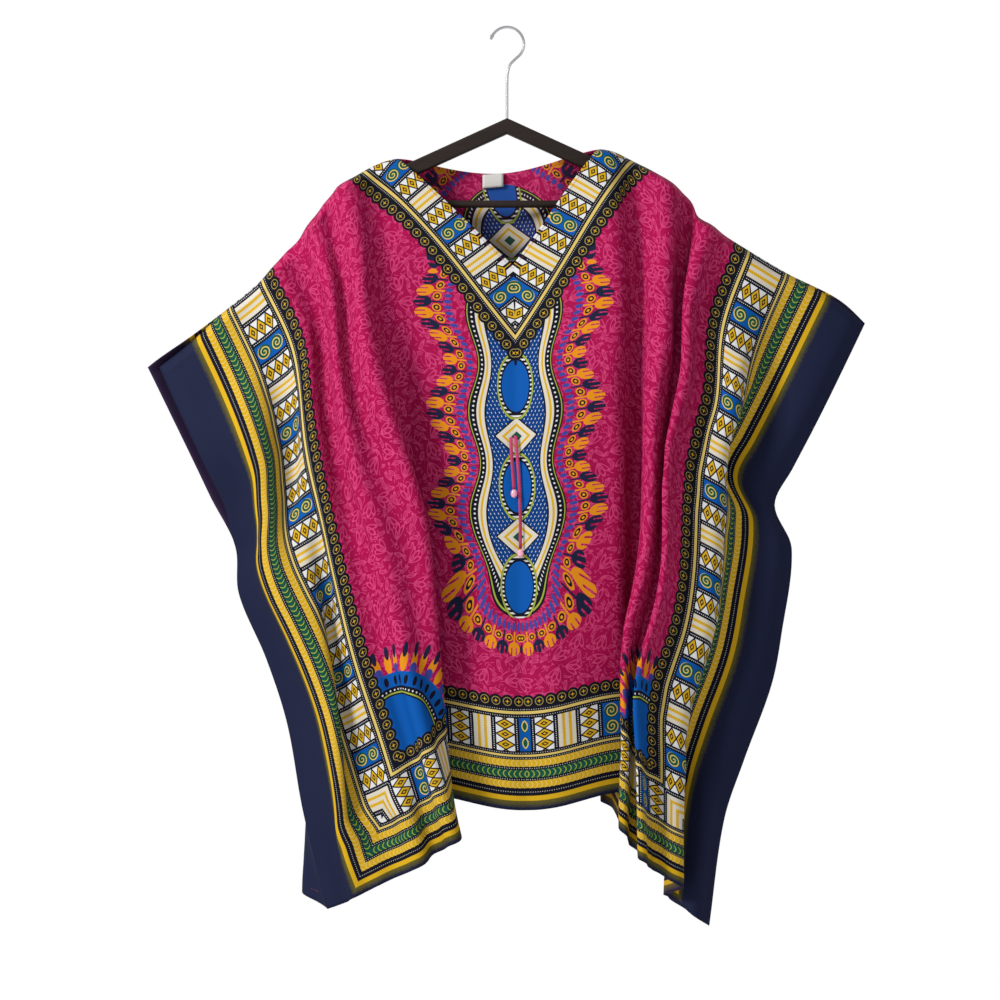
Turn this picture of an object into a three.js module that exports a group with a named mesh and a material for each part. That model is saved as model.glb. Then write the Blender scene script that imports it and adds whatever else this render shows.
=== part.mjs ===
// Dashiki shirt on a wooden hanger, in millimetres, +Z up, front towards -Y.
// The origin is the inside top of the hanger hook, where a rail would hold it.
// Both panels start as flat rectangles; each point of a panel is named by its cut
// position: s across from the centre line, t down from the shoulder fold.
import * as THREE from 'three';

// ---- cut sizes of the cloth ----
const HALF_WIDTH = 560;
const LENGTH = 830;
const NECK_HALF = 130;
const V_DEPTH = 135;
const BACK_SCOOP = 12;
const BORDER_LINE = 362;
const SLEEVE_OPENING = 255;
const CLOTH = 1.2;
const SHOULDER_Y = 0.65;
const SEAM_Y = 1;
const SHOULDER_ROLL = 10;
const SIDE_PART = 9;
const SIDE_PART_NEAR = -6;
const SIDE_PART_FAR = 24;
const SLEEVE_STEP = 15;
const SLEEVE_STEP_ABOVE = 200;
const SLEEVE_STEP_END = 270;

// ---- hanger sizes ----
const HANGER_HALF = 214;
const HANGER_APEX_Z = -114.5;
const HANGER_SLOPE = 0.4557;
const HANGER_DEEP = 12;
const HANGER_TALL = 20;
const TIP_BLOCK_X = 182.6;
const TIP_BOTTOM_Z = -233;
const EDGE_ROUND = 2.5;
const BAR_RADIUS = 4.75;
const BAR_Z = -223.5;
const HOOK_RADIUS = 21.5;
const WIRE_RADIUS = 1.75;
const GAP = 0.3;

// ---- label, tie and beads ----
const LABEL_WIDE = 26;
const LABEL_TALL = 18;
const LABEL_THICK = 0.8;
const LABEL_S = -11;
const LABEL_CLEAR = 0.9;
const TIE_RADIUS = 2.2;
const BEAD_RADIUS = 4.25;
const BEAD_HALF_TALL = 5.3;

// Shoulder fold height across the cloth: s from the centre line, z of the fold.
const SHOULDER = [
  { s: -560, z: -431 }, { s: -508, z: -399 }, { s: -456, z: -364 },
  { s: -393, z: -324 }, { s: -362, z: -301 }, { s: -310, z: -266 },
  { s: -244, z: -217 }, { s: -221, z: -201 }, { s: -190, z: -187 },
  { s: -130, z: -166 }, { s: 0, z: -170 }, { s: 130, z: -154 },
  { s: 191, z: -175 }, { s: 251, z: -204 }, { s: 270, z: -216 },
  { s: 298, z: -237 }, { s: 327, z: -251 }, { s: 362, z: -270 },
  { s: 437, z: -309 }, { s: 510, z: -344 }, { s: 560, z: -375 },
];

// Share of each thread's length lost to its slant, across the cloth.
const SLANT = [
  { s: -560, lost: 0.177 }, { s: -362, lost: 0.11 }, { s: -130, lost: 0.03 },
  { s: 0, lost: 0.012 }, { s: 130, lost: 0.02 }, { s: 362, lost: 0.05 },
  { s: 560, lost: 0.077 },
];

// Centre line: how far right it leans, and how far out each layer stands.
const CENTRE = [
  { t: 0, x: -10, front: -17, back: 10.5 }, { t: 135, x: 7, front: -20, back: 24 },
  { t: 350, x: 12, front: -28, back: 38 }, { t: 600, x: 17, front: -26, back: 46 },
  { t: 830, x: 27, front: -24, back: 52 },
];

// Out from the origin: where the border line (s = 362) hangs on the front and on the
// panel behind, where the side edge hangs, and how far the side seam swings forward.
const LEFT_HANG = [
  { t: 0, line: 297, behind: 297, edge: 457, swing: 0 },
  { t: 100, line: 255, behind: 255, edge: 418, swing: 0 },
  { t: 200, line: 242, behind: 242, edge: 378, swing: 0 },
  { t: 275, line: 231, behind: 231, edge: 346, swing: 0 },
  { t: 350, line: 216, behind: 216, edge: 341, swing: 2 },
  { t: 450, line: 195, behind: 195, edge: 306, swing: 6 },
  { t: 550, line: 171, behind: 174, edge: 279, swing: 12 },
  { t: 684, line: 131, behind: 156, edge: 258, swing: 24 },
  { t: 830, line: 91, behind: 150, edge: 226, swing: 44 },
];
const RIGHT_HANG = [
  { t: 0, line: 288, behind: 288, edge: 455, swing: 0 },
  { t: 100, line: 253, behind: 253, edge: 409, swing: 0 },
  { t: 200, line: 244, behind: 244, edge: 362, swing: 0 },
  { t: 250, line: 232, behind: 232, edge: 340, swing: 0 },
  { t: 310, line: 220, behind: 220, edge: 362, swing: 0 },
  { t: 430, line: 214, behind: 214, edge: 349, swing: 0 },
  { t: 500, line: 204, behind: 204, edge: 336, swing: 2 },
  { t: 600, line: 176, behind: 176, edge: 302, swing: 4 },
  { t: 684, line: 175, behind: 175, edge: 276, swing: 6 },
  { t: 830, line: 180, behind: 180, edge: 257, swing: 8 },
];

// Depth of each layer at the border line.
const LINE_DEPTH = [
  { t: 0, front: -9, back: 9 }, { t: 100, front: -26, back: 20 },
  { t: 250, front: -42, back: 34 }, { t: 450, front: -50, back: 44 },
  { t: 830, front: -56, back: 54 },
];

// Depth of the side edges: the sleeve mouth stands open, the side seam is closed.
const EDGE_DEPTH = [
  { t: 0, front: -SHOULDER_Y, back: SHOULDER_Y }, { t: 60, front: -9, back: 7 },
  { t: 150, front: -17, back: 11 }, { t: SLEEVE_OPENING, front: -SEAM_Y, back: SEAM_Y },
  { t: 400, front: 4 - SEAM_Y, back: 4 + SEAM_Y }, { t: 830, front: 10 - SEAM_Y, back: 10 + SEAM_Y },
];

// Folds, out from the centre line: place and half width at the chest and at the hem,
// then the degrees the cloth turns at four heights (minus turns forward). A creased
// fold keeps its turn; the soft ones are eased until the cloth hangs to its edges.
const FRONT_LEFT_FOLDS = [
  { name: 'chest lean', at: 70, atHem: 90, wide: 50, wideHem: 60, top: 0, chest: 4, waist: 12, hem: 16, creased: 0 },
  { name: 'deep pleat', at: 150, atHem: 236, wide: 14, wideHem: 52, top: 0, chest: 0, waist: -146, hem: -166, creased: 1 },
  { name: 'first ridge rise', at: 188, atHem: 190, wide: 22, wideHem: 20, top: -20, chest: -42, waist: -10, hem: 0, creased: 0 },
  { name: 'first ridge fall', at: 226, atHem: 270, wide: 16, wideHem: 16, top: 20, chest: 54, waist: 34, hem: 0, creased: 0 },
  { name: 'second ridge rise', at: 260, atHem: 306, wide: 17, wideHem: 16, top: -20, chest: -58, waist: -44, hem: -50, creased: 0 },
  { name: 'second ridge fall', at: 304, atHem: 340, wide: 22, wideHem: 18, top: 20, chest: 74, waist: 74, hem: 52, creased: 0 },
  { name: 'border return', at: 344, atHem: 378, wide: 18, wideHem: 18, top: -20, chest: -42, waist: -46, hem: -20, creased: 0 },
  { name: 'sleeve pleat fall', at: 396, atHem: 410, wide: 22, wideHem: 22, top: 0, chest: 66, waist: 54, hem: 20, creased: 0 },
  { name: 'sleeve pleat rise', at: 444, atHem: 470, wide: 22, wideHem: 22, top: 0, chest: -70, waist: -40, hem: 0, creased: 0 },
  { name: 'stripe pleat', at: 345, atHem: 494, wide: 8, wideHem: 16, top: 0, chest: 0, waist: -112, hem: -84, creased: 1 },
  { name: 'side turn', at: 516, atHem: 500, wide: 28, wideHem: 24, top: 0, chest: 50, waist: 70, hem: 56, creased: 0 },
];
const FRONT_RIGHT_FOLDS = [
  { name: 'chest lean', at: 90, atHem: 100, wide: 50, wideHem: 60, top: 0, chest: 4, waist: 10, hem: 14, creased: 0 },
  { name: 'neck valley', at: 158, atHem: 150, wide: 19, wideHem: 16, top: 14, chest: 62, waist: 40, hem: 0, creased: 0 },
  { name: 'deep pleat', at: 198, atHem: 200, wide: 19, wideHem: 30, top: -10, chest: -56, waist: -100, hem: -168, creased: 1 },
  { name: 'pleat return', at: 226, atHem: 250, wide: 12, wideHem: 15, top: 0, chest: 0, waist: -20, hem: -60, creased: 0 },
  { name: 'second valley', at: 250, atHem: 284, wide: 20, wideHem: 15, top: 24, chest: 80, waist: 76, hem: 70, creased: 0 },
  { name: 'valley rise', at: 292, atHem: 318, wide: 20, wideHem: 15, top: -24, chest: -80, waist: -72, hem: -70, creased: 0 },
  { name: 'border fall', at: 336, atHem: 350, wide: 18, wideHem: 14, top: 20, chest: 74, waist: 70, hem: 60, creased: 0 },
  { name: 'sleeve pleat rise', at: 392, atHem: 392, wide: 22, wideHem: 20, top: 0, chest: -58, waist: -50, hem: -30, creased: 0 },
  { name: 'sleeve pleat fall', at: 444, atHem: 450, wide: 26, wideHem: 18, top: 0, chest: 50, waist: 50, hem: 60, creased: 0 },
  { name: 'side turn', at: 508, atHem: 504, wide: 28, wideHem: 28, top: 0, chest: -40, waist: -50, hem: -44, creased: 0 },
];
const BACK_LEFT_FOLDS = [
  { name: 'spine ridge', at: 50, atHem: 44, wide: 20, wideHem: 19, top: 0, chest: 20, waist: 60, hem: 86, creased: 0 },
  { name: 'spine valley', at: 102, atHem: 92, wide: 21, wideHem: 20, top: 0, chest: -34, waist: -74, hem: -92, creased: 0 },
  { name: 'inner ridge', at: 156, atHem: 144, wide: 22, wideHem: 22, top: 0, chest: 44, waist: 78, hem: 90, creased: 0 },
  { name: 'inner valley', at: 208, atHem: 198, wide: 20, wideHem: 22, top: 0, chest: -52, waist: -80, hem: -94, creased: 0 },
  { name: 'blade ridge', at: 260, atHem: 250, wide: 22, wideHem: 20, top: 4, chest: 66, waist: 78, hem: 88, creased: 0 },
  { name: 'blade valley', at: 316, atHem: 304, wide: 22, wideHem: 23, top: -4, chest: -66, waist: -74, hem: -84, creased: 0 },
  { name: 'border ridge', at: 372, atHem: 360, wide: 22, wideHem: 22, top: 0, chest: 60, waist: 66, hem: 74, creased: 0 },
  { name: 'border valley', at: 428, atHem: 416, wide: 24, wideHem: 22, top: 0, chest: -58, waist: -58, hem: -66, creased: 0 },
  { name: 'sleeve ridge', at: 488, atHem: 462, wide: 26, wideHem: 16, top: 0, chest: 50, waist: 60, hem: 30, creased: 0 },
  { name: 'wrap to the front', at: 556, atHem: 540, wide: 10, wideHem: 30, top: 0, chest: 0, waist: 0, hem: -150, creased: 1 },
];
const BACK_RIGHT_FOLDS = [
  { name: 'spine ridge', at: 42, atHem: 46, wide: 20, wideHem: 20, top: 0, chest: -20, waist: -54, hem: -80, creased: 0 },
  { name: 'spine valley', at: 96, atHem: 98, wide: 23, wideHem: 21, top: 0, chest: 34, waist: 70, hem: 92, creased: 0 },
  { name: 'inner ridge', at: 152, atHem: 148, wide: 20, wideHem: 20, top: 0, chest: -42, waist: -78, hem: -94, creased: 0 },
  { name: 'inner valley', at: 204, atHem: 200, wide: 22, wideHem: 22, top: 0, chest: 54, waist: 82, hem: 92, creased: 0 },
  { name: 'blade ridge', at: 258, atHem: 252, wide: 21, wideHem: 20, top: 4, chest: -64, waist: -78, hem: -90, creased: 0 },
  { name: 'blade valley', at: 312, atHem: 304, wide: 22, wideHem: 22, top: -4, chest: 66, waist: 76, hem: 88, creased: 0 },
  { name: 'border ridge', at: 368, atHem: 358, wide: 22, wideHem: 22, top: 0, chest: -62, waist: -72, hem: -84, creased: 0 },
  { name: 'border valley', at: 424, atHem: 412, wide: 22, wideHem: 22, top: 0, chest: 60, waist: 76, hem: 88, creased: 0 },
  { name: 'sleeve ridge', at: 482, atHem: 470, wide: 24, wideHem: 24, top: 0, chest: -52, waist: -70, hem: -82, creased: 0 },
];

// Smooth curve through the rows of a table, by one column over another.
function along(rows, over, column, value) {
  const last = rows.length - 1;
  let i = 0;
  while (i < last - 1 && value > rows[i + 1][over]) {
    i += 1;
  }
  const a = rows[i];
  const b = rows[i + 1];
  const span = b[over] - a[over];
  const u = Math.min(Math.max((value - a[over]) / span, 0), 1);
  const before = rows[Math.max(i - 1, 0)];
  const after = rows[Math.min(i + 2, last)];
  const slopeA = (b[column] - before[column]) / (b[over] - before[over]);
  const slopeB = (after[column] - a[column]) / (after[over] - a[over]);
  const uu = u * u;
  const uuu = uu * u;
  const blendA = 2 * uuu - 3 * uu + 1;
  const easeA = (uuu - 2 * uu + u) * span * slopeA;
  const blendB = 3 * uu - 2 * uuu;
  const easeB = (uuu - uu) * span * slopeB;
  return blendA * a[column] + easeA + blendB * b[column] + easeB;
}

function smooth(from, to, value) {
  const u = Math.min(Math.max((value - from) / (to - from), 0), 1);
  return u * u * (3 - 2 * u);
}

// How much of a fold's turn is felt away from its middle: level, then eased off.
function bell(offset, wide) {
  const soft = Math.min(wide, CREASE_SOFT / 2);
  return 1 - smooth(wide - soft, wide + soft, Math.abs(offset));
}

const STATIONS = ['top', 'chest', 'waist', 'hem'];
const STATION_T = [0, 170, 450, 830];
const CREASE_SOFT = 44;
const SIDE_CALM = 24;
const SIDE_FLAT = 5;

// Turn of the cloth at one place: the creased share and the soft share, in radians.
function turnAt(folds, out, t) {
  const calm = 1 - smooth(HALF_WIDTH - SIDE_CALM, HALF_WIDTH - SIDE_FLAT, out);
  const down = t / LENGTH;
  const total = [0, 0];
  for (const fold of folds) {
    const rows = STATIONS.map((key, i) => ({ t: STATION_T[i], turn: fold[key] }));
    const middle = fold.at + (fold.atHem - fold.at) * down;
    const wide = fold.wide + (fold.wideHem - fold.wide) * down;
    const felt = along(rows, 't', 'turn', t) * bell(out - middle, wide) * Math.PI / 180;
    total[fold.creased] += fold.creased ? felt : felt * calm;
  }
  return { soft: total[0], creased: total[1], calm };
}

const STEP = 7;
const STEPS = HALF_WIDTH / STEP;
const HALVINGS = 18;
const MOST_EASE = 2.6;
const MOST_TURN = 1.45;
const MOST_LEAN = 0.7;
const MOST_SLOPE = 0.95;

// Walks out over the cloth from one place to another with the given easing and lean.
function walk(flat, turn, from, to, ease, lean) {
  const steps = [];
  let x = 0;
  let y = 0;
  for (let i = from; i < to; i += 1) {
    const leaning = lean * turn[i].calm * (1 - Math.abs(turn[i].creased) / Math.PI);
    const soft = Math.min(Math.max(ease * turn[i].soft, -MOST_TURN), MOST_TURN);
    const angle = soft + turn[i].creased + leaning;
    x += flat[i] * Math.cos(angle);
    y += flat[i] * Math.sin(angle);
    steps.push({ x, y });
  }
  return steps;
}

// Finds the easing and lean that bring a stretch of cloth to the x and y it hangs at.
function settle(flat, turn, from, to, wantedX, wantedY) {
  const halve = (low, high, tooLow) => {
    let a = low;
    let b = high;
    for (let pass = 0; pass < HALVINGS; pass += 1) {
      const middle = (a + b) / 2;
      if (tooLow(middle)) {
        a = middle;
      } else {
        b = middle;
      }
    }
    return (a + b) / 2;
  };
  const end = (ease, lean) => walk(flat, turn, from, to, ease, lean)[to - from - 1];
  const easeFor = (lean) => halve(0, MOST_EASE, (ease) => end(ease, lean).x > wantedX);
  const lean = halve(-MOST_LEAN, MOST_LEAN, (tried) => end(easeFor(tried), tried).y < wantedY);
  return walk(flat, turn, from, to, easeFor(lean), lean);
}

// One half of one row of cloth: the x and y reached at every STEP out from centre.
function drapeRow(side, folds, t, line, edge) {
  const flat = [];
  const turn = [];
  for (let i = 0; i < STEPS; i += 1) {
    const out = (i + 0.5) * STEP;
    const rise = fallAt(side * (out + 1), t) - fallAt(side * (out - 1), t);
    const slope = Math.min(Math.abs(rise / 2), MOST_SLOPE);
    flat.push(Math.sqrt(1 - slope * slope) * STEP);
    turn.push(turnAt(folds, out, t));
  }
  const lineStep = Math.round(BORDER_LINE / STEP);
  const inner = settle(flat, turn, 0, lineStep, line.x, line.y);
  const start = inner[lineStep - 1];
  const outer = settle(flat, turn, lineStep, STEPS, edge.x - start.x, edge.y - start.y);
  const end = outer[STEPS - lineStep - 1];
  const missX = edge.x - start.x - end.x;
  const missY = edge.y - start.y - end.y;
  const row = [{ x: 0, y: 0 }, ...inner];
  outer.forEach((p, i) => {
    const part = (i + 1) / (STEPS - lineStep);
    row.push({ x: start.x + p.x + missX * part, y: start.y + p.y + missY * part });
  });
  return row;
}

// Height of the cloth point before folding: shoulder height less the thread below it.
function fallAt(s, t) {
  return along(SHOULDER, 's', 'z', s) - t * (1 - along(SLANT, 's', 'lost', s));
}

const ROW_STEP = 10;
const ROW_COUNT = LENGTH / ROW_STEP;

// A whole panel hung on the hanger, as rows of points ROW_STEP apart down the cloth.
function drapePanel(face, leftFolds, rightFolds) {
  const rows = [];
  for (let j = 0; j <= ROW_COUNT; j += 1) {
    const t = j * ROW_STEP;
    const centreX = along(CENTRE, 't', 'x', t);
    const centreY = along(CENTRE, 't', face, t);
    const row = new Array(2 * STEPS + 1);
    for (const side of [-1, 1]) {
      const folds = side < 0 ? leftFolds : rightFolds;
      const hang = side < 0 ? LEFT_HANG : RIGHT_HANG;
      const stepped = side < 0 && face === 'front';
      const stepLeft = 1 - smooth(SLEEVE_STEP_ABOVE, SLEEVE_STEP_END, t);
      const shortSleeve = stepped ? SLEEVE_STEP * stepLeft : 0;
      const line = {
        x: along(hang, 't', face === 'front' ? 'line' : 'behind', t) - side * centreX,
        y: along(LINE_DEPTH, 't', face, t) - centreY,
      };
      const edge = {
        x: along(hang, 't', 'edge', t) - side * centreX - shortSleeve,
        y: along(EDGE_DEPTH, 't', face, t) - along(hang, 't', 'swing', t) - centreY,
      };
      const half = drapeRow(side, folds, t, line, edge);
      const opened = smooth(0, SHOULDER_ROLL, t);
      const shoulderY = along(EDGE_DEPTH, 't', face, 0);
      for (let i = 0; i <= STEPS; i += 1) {
        const out = i * STEP;
        const parted = SIDE_PART * smooth(SIDE_PART_NEAR, SIDE_PART_FAR, HALF_WIDTH - out);
        const hung = centreY + half[i].y + (face === 'front' ? -parted : parted);
        row[STEPS + side * i] = {
          x: centreX + side * half[i].x,
          y: shoulderY + (hung - shoulderY) * opened,
          z: fallAt(side * out, t),
        };
      }
    }
    rows.push(row);
  }
  return rows;
}

// The point of a hung panel at cut position s, t, read between the nearest rows.
function pointAt(panel, s, t) {
  const column = Math.min(Math.max((s + HALF_WIDTH) / STEP, 0), 2 * STEPS - 1e-6);
  const line = Math.min(Math.max(t / ROW_STEP, 0), ROW_COUNT - 1e-6);
  const i = Math.floor(column);
  const j = Math.floor(line);
  const u = column - i;
  const v = line - j;
  const read = (key) => {
    const upper = panel[j][i][key] * (1 - u) + panel[j][i + 1][key] * u;
    const lower = panel[j + 1][i][key] * (1 - u) + panel[j + 1][i + 1][key] * u;
    return upper * (1 - v) + lower * v;
  };
  return new THREE.Vector3(read('x'), read('y'), read('z'));
}

// Triangles of a closed body from two matching grids of points and its rim.
function closedSheet(outer, inner) {
  const lines = outer.length;
  const across = outer[0].length;
  const places = [...outer.flat(), ...inner.flat()];
  const index = [];
  const behind = lines * across;
  const quad = (a, b, c, d) => index.push(a, b, c, a, c, d);
  const at = (j, i) => j * across + i;
  for (let j = 0; j < lines - 1; j += 1) {
    for (let i = 0; i < across - 1; i += 1) {
      quad(at(j, i), at(j + 1, i), at(j + 1, i + 1), at(j, i + 1));
      quad(behind + at(j, i), behind + at(j, i + 1), behind + at(j + 1, i + 1), behind + at(j + 1, i));
    }
  }
  for (let i = 0; i < across - 1; i += 1) {
    const foot = lines - 1;
    quad(at(0, i), at(0, i + 1), behind + at(0, i + 1), behind + at(0, i));
    quad(at(foot, i + 1), at(foot, i), behind + at(foot, i), behind + at(foot, i + 1));
  }
  for (let j = 0; j < lines - 1; j += 1) {
    const end = across - 1;
    quad(at(j + 1, 0), at(j, 0), behind + at(j, 0), behind + at(j + 1, 0));
    quad(at(j, end), at(j + 1, end), behind + at(j + 1, end), behind + at(j, end));
  }
  const geometry = new THREE.BufferGeometry();
  const position = new THREE.Float32BufferAttribute(places.flatMap((p) => [p.x, p.y, p.z]), 3);
  geometry.setAttribute('position', position);
  geometry.setIndex(index);
  return geometry;
}

// Gives a grid of points its wall: one face half a wall out from the cloth, one half in.
function thicken(grid, shift, wall) {
  const across = grid[0].length;
  const normals = grid.map((row, j) => row.map((p, i) => {
    const left = row[Math.max(i - 1, 0)];
    const right = row[Math.min(i + 1, across - 1)];
    const up = grid[Math.max(j - 1, 0)][i];
    const down = grid[Math.min(j + 1, grid.length - 1)][i];
    const sideways = right.clone().sub(left);
    const downwards = down.clone().sub(up);
    return downwards.cross(sideways).normalize();
  }));
  const moved = (amount) => grid.map((row, j) => row.map((p, i) => (
    p.clone().addScaledVector(normals[j][i], amount)
  )));
  return closedSheet(moved(shift + wall / 2), moved(shift - wall / 2));
}

// Columns and rows of the cut where the cloth is sampled, closer where it turns.
const HALF_COLUMNS = [
  38, 78, 118, 130, 152, 172, 192, 212, 232, 254, 276, 298, 320,
  342, 362, 382, 402, 424, 446, 468, 490, 512, 532, 548, 560,
];
const ROW_PARTS = [
  0, 0.012, 0.035, 0.075, 0.12, 0.17, 0.22, 0.27, 0.32, 0.37, 0.42, 0.47,
  0.52, 0.57, 0.62, 0.67, 0.72, 0.77, 0.82, 0.87, 0.91, 0.955, 1,
];

function panelGrid(panel, neckline) {
  const columns = [...HALF_COLUMNS.map((s) => -s).reverse(), 0, ...HALF_COLUMNS];
  return ROW_PARTS.map((part) => columns.map((s) => {
    const top = neckline(s);
    return pointAt(panel, s, top + part * (LENGTH - top));
  }));
}

const frontNeck = (s) => V_DEPTH * Math.max(1 - Math.abs(s) / NECK_HALF, 0);
const backNeck = (s) => BACK_SCOOP * Math.max(1 - (s / NECK_HALF) ** 2, 0);

// ---- round bars, wires and cords: a tube swept through points, closed at both ends ----
const ROUND_SIDES = 16;

function sweep(points, radii) {
  const rings = points.map((p, i) => {
    const before = points[Math.max(i - 1, 0)];
    const after = points[Math.min(i + 1, points.length - 1)];
    const ahead = after.clone().sub(before).normalize();
    const across = new THREE.Vector3(0, 1, 0).cross(ahead).normalize();
    const up = ahead.clone().cross(across).normalize();
    const ring = [];
    for (let k = 0; k < ROUND_SIDES; k += 1) {
      const angle = 2 * Math.PI * k / ROUND_SIDES;
      const edge = p.clone().addScaledVector(across, radii[i] * Math.cos(angle));
      ring.push(edge.addScaledVector(up, radii[i] * Math.sin(angle)));
    }
    return ring;
  });
  const places = [...rings.flat(), points[0], points[points.length - 1]];
  const startCap = rings.length * ROUND_SIDES;
  const endCap = startCap + 1;
  const lastRing = (rings.length - 1) * ROUND_SIDES;
  const index = [];
  for (let k = 0; k < ROUND_SIDES; k += 1) {
    const next = (k + 1) % ROUND_SIDES;
    for (let i = 0; i < rings.length - 1; i += 1) {
      const a = i * ROUND_SIDES;
      const b = a + ROUND_SIDES;
      index.push(a + k, a + next, b + next, a + k, b + next, b + k);
    }
    index.push(startCap, next, k);
    index.push(endCap, lastRing + k, lastRing + next);
  }
  const geometry = new THREE.BufferGeometry();
  const position = new THREE.Float32BufferAttribute(places.flatMap((p) => [p.x, p.y, p.z]), 3);
  geometry.setAttribute('position', position);
  geometry.setIndex(index);
  return geometry;
}

// ---- the hanger ----
// Rounded tip of an arm from its top edge down: how far in from the end, and height.
const TIP_TOP_IN = 9;
const TIP_ROUND = [
  { inside: 3, z: -212 }, { inside: 0, z: -217 }, { inside: 1, z: -224 },
  { inside: 7, z: TIP_BOTTOM_Z + 1 }, { inside: 16, z: TIP_BOTTOM_Z },
];
const BLOCK_CORNER = 4;
const BEVEL_STEPS = 3;

function hangerArms() {
  const top = (x) => HANGER_APEX_Z - HANGER_SLOPE * x;
  const tipStart = HANGER_HALF - TIP_TOP_IN;
  const right = [
    [tipStart, top(tipStart)],
    ...TIP_ROUND.map(({ inside, z }) => [HANGER_HALF - inside, z]),
    [TIP_BLOCK_X + BLOCK_CORNER, TIP_BOTTOM_Z],
    [TIP_BLOCK_X, TIP_BOTTOM_Z + BLOCK_CORNER],
    [TIP_BLOCK_X, top(TIP_BLOCK_X) - HANGER_TALL + 1],
  ];
  const outline = [[0, HANGER_APEX_Z], ...right, [0, HANGER_APEX_Z - HANGER_TALL]];
  outline.push(...right.map(([x, z]) => [-x, z]).reverse());
  const shape = new THREE.Shape(outline.map(([x, z]) => new THREE.Vector2(x, z)));
  const options = {
    depth: HANGER_DEEP - 2 * EDGE_ROUND,
    bevelEnabled: true,
    bevelThickness: EDGE_ROUND,
    bevelSize: EDGE_ROUND,
    bevelOffset: -EDGE_ROUND,
    bevelSegments: BEVEL_STEPS,
  };
  const geometry = new THREE.ExtrudeGeometry(shape, options);
  geometry.translate(0, 0, EDGE_ROUND - HANGER_DEEP / 2);
  geometry.rotateX(Math.PI / 2);
  return geometry;
}

// Hook: from the ball tip over the top, round to the neck and down to the wood.
const HOOK_TIP_ANGLE = 165;
const HOOK_NECK_ANGLE = -55;
const HOOK_ANGLE_STEP = 11;
const HOOK_NECK = [{ x: 4, z: -46 }, { x: 0.6, z: -58 }, { x: 0, z: -74 }, { x: 0, z: -92 }];
const NECK_STEPS = 16;
const TIP_RADII = [1.2, 2.5];

function hookPath() {
  const middleZ = -HOOK_RADIUS + WIRE_RADIUS;
  const points = [];
  for (let angle = HOOK_TIP_ANGLE; angle >= HOOK_NECK_ANGLE; angle -= HOOK_ANGLE_STEP) {
    const turn = angle * Math.PI / 180;
    const x = HOOK_RADIUS * Math.cos(turn);
    points.push(new THREE.Vector3(x, 0, middleZ + HOOK_RADIUS * Math.sin(turn)));
  }
  const curve = new THREE.CatmullRomCurve3([
    points[points.length - 1],
    ...HOOK_NECK.map(({ x, z }) => new THREE.Vector3(x, 0, z)),
    new THREE.Vector3(0, 0, HANGER_APEX_Z + GAP + 0.1),
  ]);
  points.push(...curve.getPoints(NECK_STEPS).slice(1));
  return points;
}

function hookRadii(count) {
  return [...TIP_RADII, ...new Array(count - TIP_RADII.length).fill(WIRE_RADIUS)];
}

// ---- tie ends with their beads, hanging in front of the chest ----
const BEAD_AROUND = 18;
const BEAD_DOWN = 12;
const TIE_LONG = [
  [10.5, -41.4, -519], [11.3, -41.9, -529], [12.2, -42.2, -539], [13.1, -42.4, -549], [13.9, -42.5, -559],
  [14.6, -42.5, -569], [15.2, -42.5, -579], [15.7, -42.6, -589], [16.1, -42.6, -599], [16.4, -42.5, -609],
  [16.5, -42.4, -619], [16.6, -42.3, -629], [16.6, -42.2, -639], [16.6, -42.1, -650], [16.6, -42.0, -661],
];
const TIE_SHORT = [
  [4.8, -41.4, -521], [4.8, -41.8, -526], [4.9, -42.1, -531], [5.1, -42.3, -536], [5.4, -42.4, -541],
  [5.7, -42.5, -546], [6.1, -42.5, -551], [6.5, -42.6, -556], [6.9, -42.6, -561], [7.3, -42.6, -566],
  [7.6, -42.6, -570], [7.9, -42.6, -574], [8.2, -42.6, -578], [8.4, -42.6, -582], [8.6, -42.6, -586],
];

function bead(foot) {
  const sphere = new THREE.SphereGeometry(1, BEAD_AROUND, BEAD_DOWN);
  sphere.rotateX(Math.PI / 2);
  sphere.scale(BEAD_RADIUS, BEAD_RADIUS, BEAD_HALF_TALL);
  sphere.translate(foot.x, foot.y - (BEAD_RADIUS - TIE_RADIUS), foot.z - BEAD_HALF_TALL - GAP);
  return sphere;
}

// ---- the whole object ----
const cotton = { color: 0xb3145c, roughness: 0.85, metalness: 0 };
const wood = { color: 0x2b1b17, roughness: 0.45, metalness: 0 };
const chrome = { color: 0xc9cbd0, roughness: 0.15, metalness: 1 };
const tape = { color: 0xd0246e, roughness: 0.6, metalness: 0 };
const clearBead = { color: 0xe9a9bf, roughness: 0.1, metalness: 0 };
const labelWhite = { color: 0xe8e6e2, roughness: 0.7, metalness: 0 };

const group = new THREE.Group();

function add(name, geometry, look) {
  const mesh = new THREE.Mesh(geometry, new THREE.MeshStandardMaterial(look));
  mesh.name = name;
  group.add(mesh);
}

const frontPanel = drapePanel('front', FRONT_LEFT_FOLDS, FRONT_RIGHT_FOLDS);
const backPanel = drapePanel('back', BACK_LEFT_FOLDS, BACK_RIGHT_FOLDS);
add('front_panel', thicken(panelGrid(frontPanel, frontNeck), 0, CLOTH), cotton);
add('back_panel', thicken(panelGrid(backPanel, backNeck), 0, CLOTH), cotton);

const LABEL_DOWN = [0, 0.33, 0.67, 1];
const LABEL_OVER = [-0.5, -0.25, 0, 0.25, 0.5];
const labelGrid = LABEL_DOWN.map((down) => LABEL_OVER.map((over) => (
  pointAt(backPanel, LABEL_S + LABEL_WIDE * over, BACK_SCOOP + 1 + LABEL_TALL * down)
)));
const labelShift = CLOTH / 2 + LABEL_CLEAR + LABEL_THICK / 2;
add('neck_label', thicken(labelGrid, labelShift, LABEL_THICK), labelWhite);

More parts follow.
